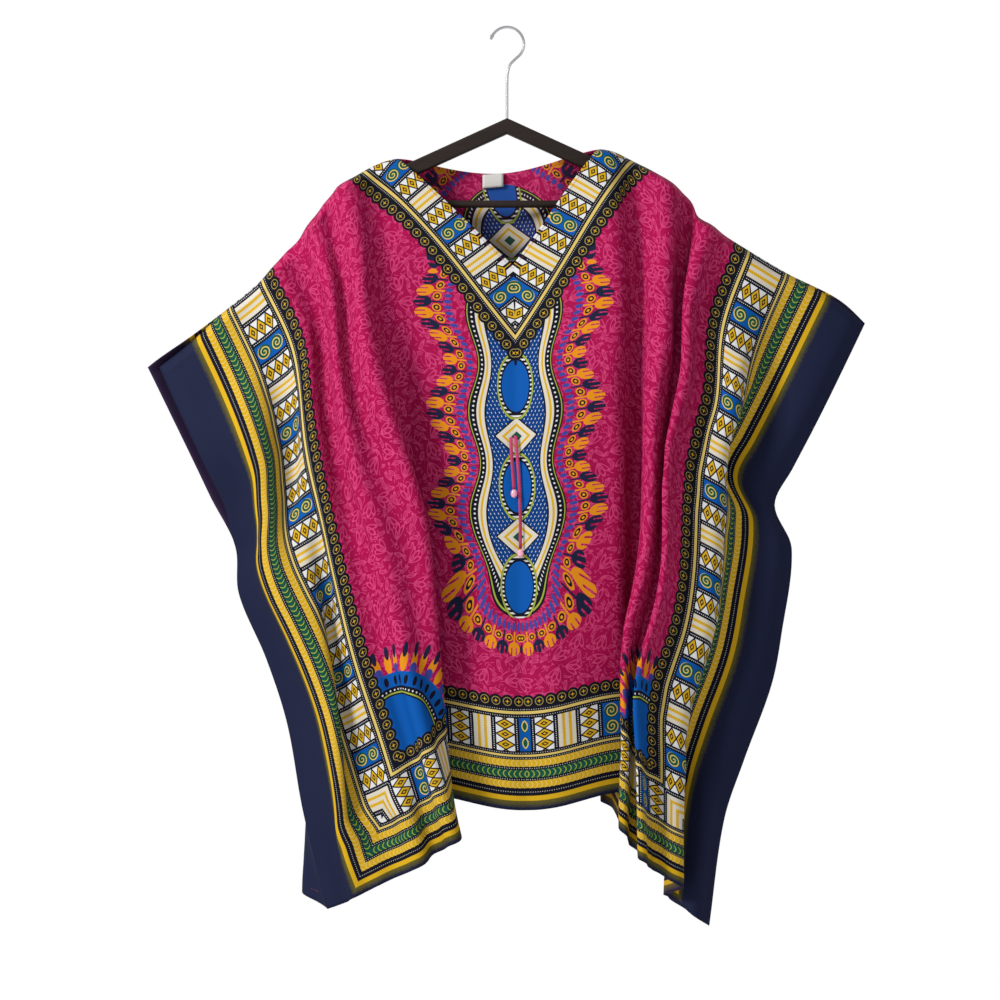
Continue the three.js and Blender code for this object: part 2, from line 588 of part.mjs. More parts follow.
for (const [length, route] of [['long', TIE_LONG], ['short', TIE_SHORT]]) {
  const path = route.map(([x, y, z]) => new THREE.Vector3(x, y, z));
  add(`tie_${length}`, sweep(path, path.map(() => TIE_RADIUS)), tape);
  add(`bead_${length}`, bead(path[path.length - 1]), clearBead);
}

add('hanger_arms', hangerArms(), wood);
const barReach = TIP_BLOCK_X - GAP;
const barPath = [-1, -0.5, 0, 0.5, 1].map((part) => new THREE.Vector3(barReach * part, 0, BAR_Z));
add('hanger_bar', sweep(barPath, barPath.map(() => BAR_RADIUS)), wood);
const wire = hookPath();
add('hanger_hook', sweep(wire, hookRadii(wire.length)), chrome);

export default group;
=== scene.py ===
import math
import bpy
import numpy as np
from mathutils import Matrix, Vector


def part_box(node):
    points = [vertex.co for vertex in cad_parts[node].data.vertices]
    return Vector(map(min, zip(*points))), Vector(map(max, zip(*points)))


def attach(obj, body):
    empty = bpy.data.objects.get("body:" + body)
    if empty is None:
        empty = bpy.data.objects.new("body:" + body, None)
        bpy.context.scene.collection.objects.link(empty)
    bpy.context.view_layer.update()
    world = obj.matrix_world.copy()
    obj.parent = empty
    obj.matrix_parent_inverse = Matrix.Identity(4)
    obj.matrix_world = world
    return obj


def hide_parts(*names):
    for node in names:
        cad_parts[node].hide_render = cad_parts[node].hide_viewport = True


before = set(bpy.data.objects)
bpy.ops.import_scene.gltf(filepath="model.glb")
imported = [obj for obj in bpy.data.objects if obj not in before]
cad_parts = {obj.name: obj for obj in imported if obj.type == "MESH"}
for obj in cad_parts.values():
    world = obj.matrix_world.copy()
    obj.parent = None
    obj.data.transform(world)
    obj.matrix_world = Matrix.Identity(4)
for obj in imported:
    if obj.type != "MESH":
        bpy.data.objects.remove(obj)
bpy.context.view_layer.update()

# ---- Camera and light ----
# Level view of the hung shirt from straight in front, with a long lens.
# White surroundings, a soft key from the upper left and a weaker fill from the right.
scene = bpy.context.scene
scene.view_settings.view_transform = "Standard"
bpy.ops.object.select_all(action="DESELECT")
CAMERA_PLACE = (-0.009, -3.2, -0.5997)
CAMERA_LENS = 90.6
bpy.ops.object.camera_add(location=CAMERA_PLACE, rotation=(math.radians(90), 0, 0))
camera = bpy.context.object
camera.name = "front_camera"
camera.data.sensor_width = 36
camera.data.lens = CAMERA_LENS
scene.camera = camera

world = bpy.data.worlds.new("white_room")
world.use_nodes = True
world.node_tree.nodes["Background"].inputs["Color"].default_value = (1, 1, 1, 1)
world.node_tree.nodes["Background"].inputs["Strength"].default_value = 1.0
scene.world = world

for name, place, aim, size, watts in (
    ("key_light", (-2.5, -1.9, 0.9), (0.0, 0.0, -0.6), 0.9, 225),
    ("fill_light", (1.9, -3.0, -0.2), (0.1, 0.0, -0.6), 1.4, 14),
):
    bpy.ops.object.light_add(type="AREA", location=place)
    light = bpy.context.object
    light.name = name
    light.data.size = size
    light.data.energy = watts
    light.rotation_euler = (Vector(aim) - Vector(place)).to_track_quat("-Z", "Y").to_euler()

FLOOR_Z = -1.5
bpy.ops.mesh.primitive_plane_add(size=3.0, location=(0, 0, FLOOR_Z))
floor = bpy.context.object
floor.name = "floor"
floor_paint = bpy.data.materials.new("floor_paint")
floor_paint.use_nodes = True
floor_paint.node_tree.nodes["Principled BSDF"].inputs["Base Color"].default_value = (0.8, 0.8, 0.8, 1)
floor_paint.node_tree.nodes["Principled BSDF"].inputs["Roughness"].default_value = 0.9
floor.data.materials.append(floor_paint)

# ---- Tie ends ----
# Flat woven magenta tape, 4.4 mm wide, threaded through the chest: two free ends.
# Each ends in a knot inside a small clear pink bead.
MM = 0.001
TAPE_SIDES = 12
TAPE_TWIST = 24
TIE_HALF_WIDE = 2.2
TIE_HALF_THICK = 0.7
TIE_LONG = [
    (10.5, -41.4, -519), (11.3, -41.9, -529), (12.2, -42.2, -539), (13.1, -42.4, -549), (13.9, -42.5, -559),
    (14.6, -42.5, -569), (15.2, -42.5, -579), (15.7, -42.6, -589), (16.1, -42.6, -599), (16.4, -42.5, -609),
    (16.5, -42.4, -619), (16.6, -42.3, -629), (16.6, -42.2, -639), (16.6, -42.1, -650), (16.6, -42.0, -661),
]
TIE_SHORT = [
    (4.8, -41.4, -521), (4.8, -41.8, -526), (4.9, -42.1, -531), (5.1, -42.3, -536), (5.4, -42.4, -541),
    (5.7, -42.5, -546), (6.1, -42.5, -551), (6.5, -42.6, -556), (6.9, -42.6, -561), (7.3, -42.6, -566),
    (7.6, -42.6, -570), (7.9, -42.6, -574), (8.2, -42.6, -578), (8.4, -42.6, -582), (8.6, -42.6, -586),
]


def new_object(name, places, faces, material):
    mesh = bpy.data.meshes.new(name)
    mesh.from_pydata([tuple(p) for p in places], [], faces)
    mesh.update()
    made = bpy.data.objects.new(name, mesh)
    scene.collection.objects.link(made)
    mesh.materials.append(material)
    mesh.shade_smooth()
    return made


def flat_tape(name, route, half_wide, half_thick, twists, material):
    """A flattened tube along the route, turning a little about itself as it hangs."""
    places = []
    faces = []
    sides = TAPE_SIDES
    for j, point in enumerate(route):
        turn = math.radians(twists * math.sin(2.2 * j / (len(route) - 1)))
        for k in range(sides):
            angle = 2 * math.pi * k / sides
            wide = half_wide * math.cos(angle)
            thick = half_thick * math.sin(angle)
            places.append((
                (point[0] + wide * math.cos(turn) - thick * math.sin(turn)) * MM,
                (point[1] + wide * math.sin(turn) + thick * math.cos(turn)) * MM,
                point[2] * MM,
            ))
            if j:
                a = (j - 1) * sides + k
                b = (j - 1) * sides + (k + 1) % sides
                faces.append((a, a + sides, b + sides, b))
    faces.append(tuple(range(sides)))
    faces.append(tuple(reversed(range((len(route) - 1) * sides, len(route) * sides))))
    return new_object(name, places, faces, material)


tape = bpy.data.materials.new("tie_tape")
tape.use_nodes = True
tape_nodes = tape.node_tree.nodes
tape_shader = tape_nodes["Principled BSDF"]
tape_shader.inputs["Base Color"].default_value = (0.24, 0.004, 0.05, 1)
tape_shader.inputs["Roughness"].default_value = 0.65
tape_weave = tape_nodes.new("ShaderNodeTexWave")
tape_weave.inputs["Scale"].default_value = 260
tape_place = tape_nodes.new("ShaderNodeTexCoord")
tape_bump = tape_nodes.new("ShaderNodeBump")
tape_bump.inputs["Strength"].default_value = 0.6
tape_bump.inputs["Distance"].default_value = 0.0003
tape.node_tree.links.new(tape_place.outputs["Object"], tape_weave.inputs["Vector"])
tape.node_tree.links.new(tape_weave.outputs["Fac"], tape_bump.inputs["Height"])
tape.node_tree.links.new(tape_bump.outputs["Normal"], tape_shader.inputs["Normal"])

bead_glass = bpy.data.materials.new("bead_clear_pink")
bead_glass.use_nodes = True
bead_shader = bead_glass.node_tree.nodes["Principled BSDF"]
bead_shader.inputs["Base Color"].default_value = (0.75, 0.36, 0.46, 1)
bead_shader.inputs["Roughness"].default_value = 0.08
bead_shader.inputs["Transmission Weight"].default_value = 0.55
bead_shader.inputs["IOR"].default_value = 1.49

for name, route, length in (("long", TIE_LONG, 0.142), ("short", TIE_SHORT, 0.065)):
    tie = flat_tape("tie_" + name + "_tape", route, TIE_HALF_WIDE, TIE_HALF_THICK, TAPE_TWIST, tape)
    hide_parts("tie_" + name)
    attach(tie, "root")
    low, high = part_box("bead_" + name)
    middle = (Vector(low) + Vector(high)) / 2
    half = (Vector(high) - Vector(low)) / 2
    bpy.ops.object.select_all(action="DESELECT")
    bpy.ops.mesh.primitive_uv_sphere_add(segments=24, ring_count=16, radius=1, location=middle)
    bead = bpy.context.object
    bead.name = "bead_" + name + "_clear"
    bead.scale = half
    bpy.ops.object.transform_apply(location=True, rotation=True, scale=True)
    bead.data.shade_smooth()
    bead.data.materials.append(bead_glass)
    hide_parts("bead_" + name)
    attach(bead, "root")

# ---- Front panel ----
# Thin cotton print cut as one rectangle with a V neck, hung over the hanger: deep
# pleats fall each side of the chest and the border strips fold over one another.
HALF_WIDTH = 560
LENGTH = 830
NECK_HALF = 130
V_DEPTH = 135
BORDER_LINE = 362
SLEEVE_OPENING = 255
SLEEVE_STEP = 15
SLEEVE_STEP_ABOVE = 200
SLEEVE_STEP_END = 270
SHOULDER_Y = 0.35
SEAM_Y = 0.45
SHOULDER_ROLL = 10
SIDE_PART = 9
SIDE_PART_NEAR = -6
SIDE_PART_FAR = 24
CLOTH_THICK = 0.5
MOST_EASE = 2.6
MOST_TURN = 1.45
MOST_LEAN = 0.7
MOST_SLOPE = 0.95
HALVINGS = 18

SHOULDER = [
    (-560, -431), (-508, -399), (-456, -364), (-393, -324), (-362, -301), (-310, -266), (-244, -217),
    (-221, -201), (-190, -187), (-130, -166), (0, -170), (130, -154), (191, -175), (251, -204),
    (270, -216), (298, -237), (327, -251), (362, -270), (437, -309), (510, -344), (560, -375),
]
SLANT = [
    (-560, 0.177), (-362, 0.11), (-130, 0.03), (0, 0.012), (130, 0.02), (362, 0.05), (560, 0.077),
]
CENTRE_X = [(0, -10), (135, 7), (350, 12), (600, 17), (830, 27)]
CENTRE_Y = {
    "front": [(0, -17), (135, -20), (350, -28), (600, -26), (830, -24)],
    "back": [(0, 10.5), (135, 24), (350, 38), (600, 46), (830, 52)],
}
# Down the side (t): where the border line hangs in front and behind, where the edge
# hangs, and the seam's swing.
LEFT_HANG = [
    (0, 297, 297, 457, 0), (100, 255, 255, 418, 0), (200, 242, 242, 378, 0), (275, 231, 231, 346, 0),
    (350, 216, 216, 341, 2), (450, 195, 195, 306, 6), (550, 171, 174, 279, 12), (684, 131, 156, 258, 24),
    (830, 91, 150, 226, 44),
]
RIGHT_HANG = [
    (0, 288, 288, 455, 0), (100, 253, 253, 409, 0), (200, 244, 244, 362, 0), (250, 232, 232, 340, 0),
    (310, 220, 220, 362, 0), (430, 214, 214, 349, 0), (500, 204, 204, 336, 2), (600, 176, 176, 302, 4),
    (684, 175, 175, 276, 6), (830, 180, 180, 257, 8),
]
LINE_Y = {
    "front": [(0, -9), (100, -26), (250, -42), (450, -50), (830, -56)],
    "back": [(0, 9), (100, 20), (250, 34), (450, 44), (830, 54)],
}
EDGE_Y = {
    "front": [
        (0, -SHOULDER_Y), (60, -9), (150, -17), (SLEEVE_OPENING, -SEAM_Y), (400, 4 - SEAM_Y),
        (830, 10 - SEAM_Y),
    ],
    "back": [
        (0, SHOULDER_Y), (60, 7), (150, 11), (SLEEVE_OPENING, SEAM_Y), (400, 4 + SEAM_Y),
        (830, 10 + SEAM_Y),
    ],
}
# Folds: at, at_hem, wide, wide_hem, turn at top, chest, waist and hem, creased.
FRONT_LEFT = [
    (70, 90, 50, 60, 0, 4, 12, 16, 0), (150, 236, 14, 52, 0, 0, -146, -166, 1),
    (188, 190, 22, 20, -20, -42, -10, 0, 0), (226, 270, 16, 16, 20, 54, 34, 0, 0),
    (260, 306, 17, 16, -20, -58, -44, -50, 0), (304, 340, 22, 18, 20, 74, 74, 52, 0),
    (344, 378, 18, 18, -20, -42, -46, -20, 0), (396, 410, 22, 22, 0, 66, 54, 20, 0),
    (444, 470, 22, 22, 0, -70, -40, 0, 0), (345, 494, 8, 16, 0, 0, -112, -84, 1),
    (516, 500, 28, 24, 0, 50, 70, 56, 0),
]
FRONT_RIGHT = [
    (90, 100, 50, 60, 0, 4, 10, 14, 0), (158, 150, 19, 16, 14, 62, 40, 0, 0),
    (198, 200, 19, 30, -10, -56, -100, -168, 1), (226, 250, 12, 15, 0, 0, -20, -60, 0),
    (250, 284, 20, 15, 24, 80, 76, 70, 0), (292, 318, 20, 15, -24, -80, -72, -70, 0),
    (336, 350, 18, 14, 20, 74, 70, 60, 0), (392, 392, 22, 20, 0, -58, -50, -30, 0),
    (444, 450, 26, 18, 0, 50, 50, 60, 0), (508, 504, 28, 28, 0, -40, -50, -44, 0),
]
STATIONS = (0, 170, 450, 830)
STEP = 7
STEPS = HALF_WIDTH // STEP
ROW_STEP = 10
ROWS = LENGTH // ROW_STEP + 1
CREASE_SOFT = 44
SIDE_CALM = 24
SIDE_FLAT = 5


def along(knots, values, at):
    """Smooth curve through values at the knots, level-ended outside them."""
    knots = np.asarray(knots, float)
    values = np.asarray(values, float)
    at = np.asarray(at, float)
    last = len(knots) - 1
    i = np.clip(np.searchsorted(knots[1:-1], at, side="left"), 0, last - 1)
    span = knots[i + 1] - knots[i]
    u = np.clip((at - knots[i]) / span, 0, 1)
    before = np.maximum(i - 1, 0)
    after = np.minimum(i + 2, last)
    slope_a = (values[i + 1] - values[before]) / (knots[i + 1] - knots[before])
    slope_b = (values[after] - values[i]) / (knots[after] - knots[i])
    uu = u * u
    uuu = uu * u
    start = (2 * uuu - 3 * uu + 1) * values[i] + (uuu - 2 * uu + u) * span * slope_a
    return start + (3 * uu - 2 * uuu) * values[i + 1] + (uuu - uu) * span * slope_b


def read(table, column, at):
    return along([row[0] for row in table], [row[column] for row in table], at)


def smooth(start, end, value):
    u = np.clip((value - start) / (end - start), 0, 1)
    return u * u * (3 - 2 * u)


def fall(s, t):
    return read(SHOULDER, 1, s) - t * (1 - read(SLANT, 1, s))


def settle(flat, soft, creased, calm, wanted_x, wanted_y):
    """Bisects the easing and the lean of every row until the cloth reaches its edge."""
    def end(ease, lean):
        leaning = lean[:, None] * calm * (1 - np.abs(creased) / math.pi)
        angle = np.clip(ease[:, None] * soft, -MOST_TURN, MOST_TURN) + creased + leaning
        return np.cumsum(flat * np.cos(angle), axis=1), np.cumsum(flat * np.sin(angle), axis=1)

    def ease_for(lean):
        low = np.zeros(len(flat))
        high = np.full(len(flat), MOST_EASE)
        for _ in range(HALVINGS):
            middle = (low + high) / 2
            far = end(middle, lean)[0][:, -1] > wanted_x
            low = np.where(far, middle, low)
            high = np.where(far, high, middle)
        return (low + high) / 2

    low = np.full(len(flat), -MOST_LEAN)
    high = np.full(len(flat), MOST_LEAN)
    for _ in range(HALVINGS):
        middle = (low + high) / 2
        short = end(ease_for(middle), middle)[1][:, -1] < wanted_y
        low = np.where(short, middle, low)
        high = np.where(short, high, middle)
    lean = (low + high) / 2
    return end(ease_for(lean), lean)


def drape(face, left_folds, right_folds):
    """A whole panel hung on the hanger: points every STEP across and ROW_STEP down."""
    t = np.arange(ROWS) * float(ROW_STEP)
    centre_x = read(CENTRE_X, 1, t)
    centre_y = read(CENTRE_Y[face], 1, t)
    grid = np.zeros((ROWS, 2 * STEPS + 1, 3))
    for side, folds, hang in ((-1, left_folds, LEFT_HANG), (1, right_folds, RIGHT_HANG)):
        out = (np.arange(STEPS) + 0.5) * STEP
        beyond = fall(side * (out + 1)[None, :], t[:, None])
        rise = beyond - fall(side * (out - 1)[None, :], t[:, None])
        slope = np.minimum(np.abs(rise / 2), MOST_SLOPE)
        flat = np.sqrt(1 - slope ** 2) * STEP
        calm = np.broadcast_to(1 - smooth(HALF_WIDTH - SIDE_CALM, HALF_WIDTH - SIDE_FLAT, out), flat.shape)
        down = (t / LENGTH)[:, None]
        soft = np.zeros_like(flat)
        creased = np.zeros_like(flat)
        for at, at_hem, wide, wide_hem, top, chest, waist, hem, is_creased in folds:
            middle = at + (at_hem - at) * down
            half = wide + (wide_hem - wide) * down
            blur = np.minimum(half, CREASE_SOFT / 2)
            bell = 1 - smooth(half - blur, half + blur, np.abs(out[None, :] - middle))
            felt = along(STATIONS, (top, chest, waist, hem), t)[:, None] * bell * math.pi / 180
            if is_creased:
                creased += felt
            else:
                soft += felt * calm
        line_step = round(BORDER_LINE / STEP)
        short_sleeve = 0
        if side < 0 and face == "front":
            short_sleeve = SLEEVE_STEP * (1 - smooth(SLEEVE_STEP_ABOVE, SLEEVE_STEP_END, t))
        line_x = read(hang, 1 if face == "front" else 2, t) - side * centre_x
        line_y = read(LINE_Y[face], 1, t) - centre_y
        edge_x = read(hang, 3, t) - side * centre_x - short_sleeve
        edge_y = read(EDGE_Y[face], 1, t) - read(hang, 4, t) - centre_y
        part = slice(0, line_step)
        x, y = settle(flat[:, part], soft[:, part], creased[:, part], calm[:, part], line_x, line_y)
        part = slice(line_step, STEPS)
        far_x = edge_x - x[:, -1]
        far_y = edge_y - y[:, -1]
        x2, y2 = settle(flat[:, part], soft[:, part], creased[:, part], calm[:, part], far_x, far_y)
        share = (np.arange(STEPS - line_step) + 1) / (STEPS - line_step)
        x2 = x[:, -1:] + x2 + (far_x - x2[:, -1])[:, None] * share
        y2 = y[:, -1:] + y2 + (far_y - y2[:, -1])[:, None] * share
        x = np.hstack([np.zeros((ROWS, 1)), x, x2])
        y = np.hstack([np.zeros((ROWS, 1)), y, y2])
        steps = np.arange(STEPS + 1)
        parted = SIDE_PART * smooth(SIDE_PART_NEAR, SIDE_PART_FAR, HALF_WIDTH - steps * STEP)[None, :]
        hung = centre_y[:, None] + y + (-parted if face == "front" else parted)
        shoulder_y = EDGE_Y[face][0][1]
        opened = smooth(0, SHOULDER_ROLL, t)[:, None]
        columns = STEPS + side * steps
        grid[:, columns, 0] = centre_x[:, None] + side * x
        grid[:, columns, 1] = shoulder_y + (hung - shoulder_y) * opened
        grid[:, columns, 2] = fall(side * (steps * STEP)[None, :].astype(float), t[:, None])
    return grid


def blend_weights(u):
    """Shares of four neighbours in a smooth curve through the middle two."""
    uu = u * u
    uuu = uu * u
    return (
        (-uuu + 2 * uu - u) / 2, (3 * uuu - 5 * uu + 2) / 2,
        (-3 * uuu + 4 * uu + u) / 2, (uuu - uu) / 2,
    )


def point_at(grid, s, t):
    """Places of the hung panel at cut positions s, t, smooth between the rows."""
    column = np.clip((s + HALF_WIDTH) / STEP, 0, 2 * STEPS - 1e-6)
    line = np.clip(t / ROW_STEP, 0, ROWS - 1 - 1e-6)
    i = np.floor(column).astype(int)
    j = np.floor(line).astype(int)
    across = blend_weights(column - i)
    down = blend_weights(line - j)
    place = 0
    for b in range(4):
        row = np.clip(j + b - 1, 0, ROWS - 1)
        for a in range(4):
            share = (down[b] * across[a])[..., None]
            place = place + share * grid[row, np.clip(i + a - 1, 0, 2 * STEPS)]
    return place


# Creases laid one by one: s, t, run across, run down, half width, depth (ridge if minus).
FRONT_CREASES = [
    (-205, 25, -30, 260, 9, 2.6), (-238, 40, -16, 190, 8, -2.2), (-268, 60, -20, 230, 9, 2.4),
    (-170, 60, -10, 150, 8, -1.8), (-300, 120, 20, 300, 10, 2.0), (-128, 170, -8, 200, 9, 1.6),
    (-330, 190, 30, 260, 9, -2.0), (-215, 330, 10, 250, 10, 1.6), (-420, 60, 40, 160, 8, 1.8),
    (-470, 90, 50, 120, 8, -1.6), (-505, 300, 60, 90, 8, 1.8), (-490, 400, 70, 60, 9, -1.5),
    (-60, 470, -24, 150, 10, 1.4), (-30, 620, 30, 60, 12, -1.2), (40, 560, 26, 140, 10, 1.5),
    (200, 30, 24, 250, 9, 2.6), (232, 50, 18, 210, 8, -2.2), (262, 70, 22, 220, 9, 2.4),
    (168, 60, 8, 170, 8, -1.8), (300, 110, -16, 290, 10, 2.2), (126, 170, 8, 210, 9, 1.5),
    (334, 170, -20, 250, 9, -2.0), (220, 330, -8, 260, 10, 1.6), (430, 50, -40, 160, 8, 1.8),
    (480, 100, -56, 110, 8, -1.6), (508, 290, -70, 80, 8, 1.8), (480, 420, -60, 70, 9, -1.4),
    (100, 300, -12, 160, 9, -1.3), (-96, 300, 10, 150, 9, -1.3), (340, 560, 30, 160, 9, 1.6),
    (-360, 520, -30, 170, 9, 1.6), (-150, 240, 14, 120, 8, 1.4), (150, 400, -12, 130, 8, 1.4),
]


RIPPLE_DEEP = 0.35


def lay_creases(grid_s, grid_t, creases):
    """Depth of the cloth's small ripples with the listed creases added."""
    across = np.sin(grid_s / 23 + 1.7 * np.sin(grid_t / 61))
    down = np.sin(grid_t / 37 + 1.3 * np.sin(grid_s / 47))
    depth = RIPPLE_DEEP * across * down
    for s, t, run_s, run_t, wide, deep in creases:
        share = np.clip(((grid_s - s) * run_s + (grid_t - t) * run_t) / (run_s ** 2 + run_t ** 2), 0, 1)
        off = np.hypot(grid_s - s - share * run_s, grid_t - t - share * run_t)
        taper = 0.25 + 0.75 * np.sin(math.pi * np.clip(share, 0.04, 0.96))
        depth = depth + deep * taper * np.exp(-(off / wide) ** 2)
    return depth


def front_neck(s):
    return V_DEPTH * np.maximum(1 - np.abs(s) / NECK_HALF, 0)


COLUMNS_S = np.concatenate([
    np.linspace(-HALF_WIDTH, -NECK_HALF, 93), np.linspace(-NECK_HALF, NECK_HALF, 57)[1:],
    np.linspace(NECK_HALF, HALF_WIDTH, 93)[1:],
])
ROW_SHARES = np.concatenate([np.linspace(0, 0.036, 9), np.linspace(0.036, 1, 124)[1:]])


def hung_cloth(name, grid, neckline, creases, outward, materials):
    """The cloth as a fine mesh with its cut position in the UV map, given its thickness."""
    s = np.broadcast_to(COLUMNS_S[None, :], (len(ROW_SHARES), len(COLUMNS_S)))
    top = neckline(s)
    t = top + ROW_SHARES[:, None] * (LENGTH - top)
    place = point_at(grid, s, t)
    right = np.gradient(place, axis=1)
    down = np.gradient(place, axis=0)
    normal = np.cross(down, right)
    normal /= np.linalg.norm(normal, axis=2, keepdims=True)
    depth = lay_creases(s, t, creases) * smooth(0, 30, t) * smooth(0, 30, HALF_WIDTH - np.abs(s))
    place = place - normal * depth[..., None]
    rows, columns = s.shape
    index = np.arange(rows * columns).reshape(rows, columns)
    corners = [index[:-1, :-1], index[1:, :-1], index[1:, 1:], index[:-1, 1:]]
    if outward == "back":
        corners.reverse()
    faces = np.stack(corners, axis=-1).reshape(-1, 4)
    made = new_object(name, (place * MM).reshape(-1, 3).tolist(), faces.tolist(), materials[0])
    made.data.materials.append(materials[1])
    cut_map = made.data.uv_layers.new(name="cut")
    over = (s / (2 * HALF_WIDTH) + 0.5).reshape(-1)[faces.reshape(-1)]
    up = (1 - t / LENGTH).reshape(-1)[faces.reshape(-1)]
    cut_map.data.foreach_set("uv", np.stack([over, up], axis=1).reshape(-1))
    bpy.ops.object.select_all(action="DESELECT")
    made.select_set(True)
    bpy.context.view_layer.objects.active = made
    wall = made.modifiers.new("thickness", "SOLIDIFY")
    wall.thickness = CLOTH_THICK * MM
    wall.offset = 0
    wall.material_offset = 1
    wall.material_offset_rim = 1
    bpy.ops.object.modifier_apply(modifier=wall.name)
    return made


class Wire:
    """A number carried through a node tree; sums on it add Math nodes."""

    def __init__(self, tree, socket):
        self.tree = tree
        self.socket = socket

    def math(self, kind, *others, clamp=False):
        node = self.tree.nodes.new("ShaderNodeMath")
        node.operation = kind
        node.use_clamp = clamp
        for slot, value in zip(node.inputs, (self, *others)):
            if isinstance(value, Wire):
                self.tree.links.new(value.socket, slot)
            else:
                slot.default_value = value
        return Wire(self.tree, node.outputs[0])

    def __add__(self, other):
        return self.math("ADD", other)

    def __sub__(self, other):
        return self.math("SUBTRACT", other)

    def __mul__(self, other):
        return self.math("MULTIPLY", other)

    def __truediv__(self, other):
        return self.math("DIVIDE", other)

    def size(self):
        return self.math("ABSOLUTE")

    def under(self, edge):
        return self.math("LESS_THAN", edge)

    def over(self, edge):
        return self.math("GREATER_THAN", edge)

    def near(self, middle, reach):
        return self.math("COMPARE", middle, reach)

    def most(self, other):
        return self.math("MAXIMUM", other)

    def least(self, other):
        return self.math("MINIMUM", other)

    def repeat(self, pitch):
        """Distance from the nearest middle of a repeat, from -pitch/2 to pitch/2."""
        return self.math("WRAP", pitch / 2, -pitch / 2)

    def count(self, pitch):
        return (self / pitch + 0.5).math("FLOOR")

    def reach(self, other):
        return (self * self + other * other).math("SQRT")


def painter(tree, colour):
    """Returns a function that lays a colour over the last one where a mask is 1."""
    held = [colour]

    def lay(mask, new):
        node = tree.nodes.new("ShaderNodeMix")
        node.data_type = "RGBA"
        tree.links.new(mask.socket, node.inputs[0])
        tree.links.new(held[0], node.inputs[6])
        if isinstance(new, tuple):
            node.inputs[7].default_value = (*new, 1)
        else:
            tree.links.new(new, node.inputs[7])
        held[0] = node.outputs[2]
        return held[0]

    return lay


def dye(red, green, blue, strength=0.33):
    """A dye colour seen as these screen values, as the cloth's own reflectance."""
    values = []
    for level in (red, green, blue):
        part = level / 255
        linear = part / 12.92 if part <= 0.04045 else ((part + 0.055) / 1.055) ** 2.4
        values.append(linear * strength)
    return tuple(values)


MAGENTA = dye(188, 8, 84)
PINK = dye(236, 76, 136)
NAVY = dye(30, 36, 68)
INK = dye(16, 16, 34)
YELLOW = dye(240, 190, 30)
PALE = dye(246, 216, 120)
GREEN = dye(22, 92, 74)
LEAF = dye(180, 195, 70)
BLUE = dye(0, 96, 190)
DEEP_BLUE = dye(0, 66, 140)
CREAM = dye(242, 234, 216)
ORANGE = dye(255, 160, 24)
VIOLET = dye(72, 78, 172)
WHITE = dye(250, 250, 250)
DOT = dye(214, 214, 206)
DULL_GOLD = dye(176, 158, 84)

# Strips of the border by distance in from its outer line: where each starts, colour.
BORDER_STRIPS = [
    (0, YELLOW), (6, INK), (16, YELLOW), (25, INK), (29, GREEN), (39, INK), (43, YELLOW),
    (52, INK), (56, PALE), (58.2, INK), (63.2, CREAM), (105.2, INK), (110.2, PALE), (113.7, INK),
]
BORDER_WIDE = 134
DOT_ROWS = (11, 27, 41, 54, 60.7, 107.7, 116.2)
BLOCK_MIDDLE = 84.2
BLOCK_HALF = 21
BLOCK_PITCH = 29.5
BLOCK_START = 105.2
RING_MIDDLE = 126.2
RING_PITCH = 14.5
SIDE_NAVY = 61
HEM_NAVY = 12
V_LINE_HALF = 178
V_LINE_DEPTH = 227.6
V_BLUE_UP = 51.5
V_RUN_SHARE = 1.2


